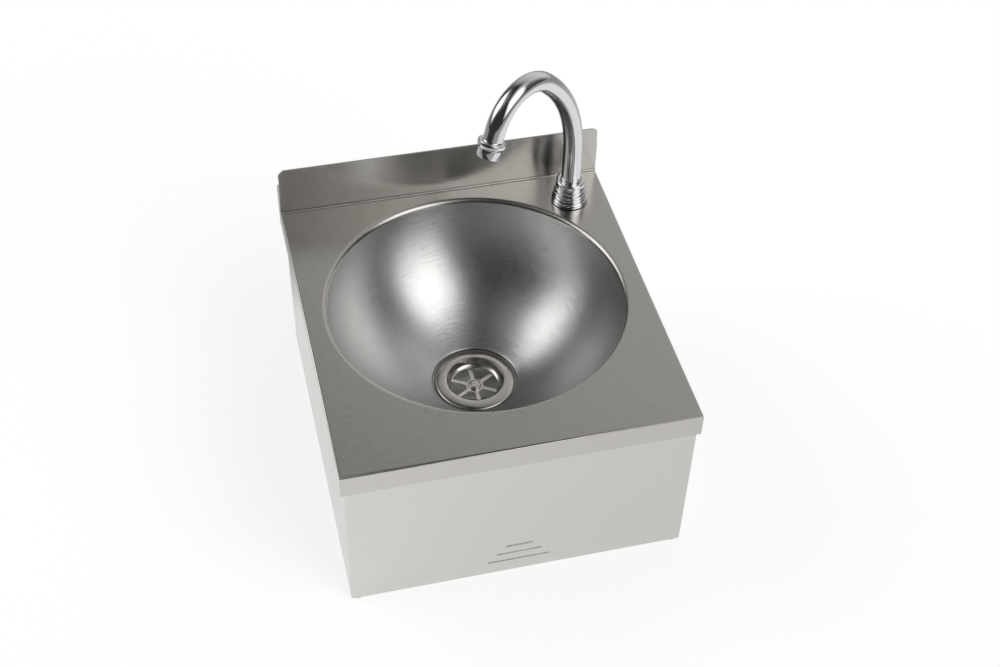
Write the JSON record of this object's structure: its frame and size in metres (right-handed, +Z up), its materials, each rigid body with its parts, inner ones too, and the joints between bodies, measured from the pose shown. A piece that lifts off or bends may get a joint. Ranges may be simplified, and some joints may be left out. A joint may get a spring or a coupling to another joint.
{
  "type": "hand wash sink",
  "caption": "Wall-hung stainless hand wash sink with a round bowl, a swivelling swan neck spout and a knee-operated push skirt.",
  "frame": {"origin": "centre of the rectangle of four wall bolt holes, on the wall plane at the back of the sink", "axes": "+X right as seen from the front, +Y into the wall, +Z up; the front of the sink faces -Y"},
  "size_m": [0.34, 0.38, 0.3882],
  "materials": {
    "brushed_steel": "brushed stainless steel sheet, satin",
    "satin_steel": "satin spun stainless steel",
    "polished_steel": "fine satin stainless steel with a polished edge",
    "plain_steel": "plain mill finish stainless steel",
    "spring_steel": "bright drawn stainless wire and mesh",
    "chrome": "bright chrome plate on brass",
    "brass": "plain machined brass",
    "nylon": "natural moulded nylon",
    "rubber": "black moulded rubber",
    "waste_plastic": "white moulded polypropylene"
  },
  "bodies": {
    "root": {"worktop": "brushed_steel", "bowl": "satin_steel", "back_panel": "plain_steel", "side_plate_left": "plain_steel", "side_plate_right": "plain_steel", "valve_bracket": "plain_steel", "pivot_pin_left": "plain_steel", "pivot_pin_right": "plain_steel", "pivot_washers": "plain_steel", "pivot_nuts": "plain_steel", "bumper_left": "rubber", "bumper_right": "rubber", "valve_body": "brass", "valve_bonnet": "chrome", "plunger_seal": "rubber", "valve_locknut": "brass", "valve_spring": "spring_steel", "bracket_screws": "plain_steel", "bracket_nuts": "plain_steel", "inlet_manifold": "brass", "manifold_plug": "brass", "hot_inlet": "chrome", "cold_inlet": "chrome", "inlet_washers": "rubber", "inlet_filters": "spring_steel", "outlet_elbow": "chrome", "outlet_pipe": "plain_steel", "pipe_nut": "chrome", "pipe_olive": "brass", "tail_nut": "brass", "tail_washer": "rubber", "tap_base": "chrome", "tap_gasket": "rubber", "tap_washer": "plain_steel", "tap_backnut": "brass", "gland_nut": "chrome", "waste_flange": "polished_steel", "waste_gasket": "rubber", "waste_screw": "polished_steel", "waste_seal": "rubber", "waste_body": "waste_plastic"},
    "skirt": {"knee_skirt": "brushed_steel", "pivot_bush_left": "nylon", "pivot_bush_right": "nylon", "striker_pad": "nylon"},
    "plunger": {"plunger": "plain_steel", "poppet": "rubber", "poppet_nut": "brass"},
    "spout": {"spout_tube": "chrome", "spout_orings": "rubber", "spout_clip": "nylon", "outlet_collar": "chrome", "aerator_housing": "chrome", "aerator_insert": "nylon", "aerator_washer": "rubber"}
  },
  "joints": [
    {"name": "skirt_hinge", "type": "hinge", "parent": "root", "child": "skirt", "pos_m": [0, -0.366, 0.066], "axis": [1, 0, 0], "range_deg": [0, 2.8], "stiffness_Nm_per_rad": 0.6, "springref_deg": -34.38},
    {"name": "plunger_slide", "type": "slide", "parent": "root", "child": "plunger", "axis": [0, 1, 0], "range_m": [0, 0.0047], "deforming": ["valve_spring"]},
    {"name": "spout_swivel", "type": "hinge", "parent": "root", "child": "spout", "pos_m": [0.13, -0.0585, 0.09], "axis": [0, 0, 1], "range_deg": [-35, 50]}
  ],
  "couplings": [
    {"joint": "plunger_slide", "follows": "skirt_hinge", "m_per_rad": 0.096}
  ]
}
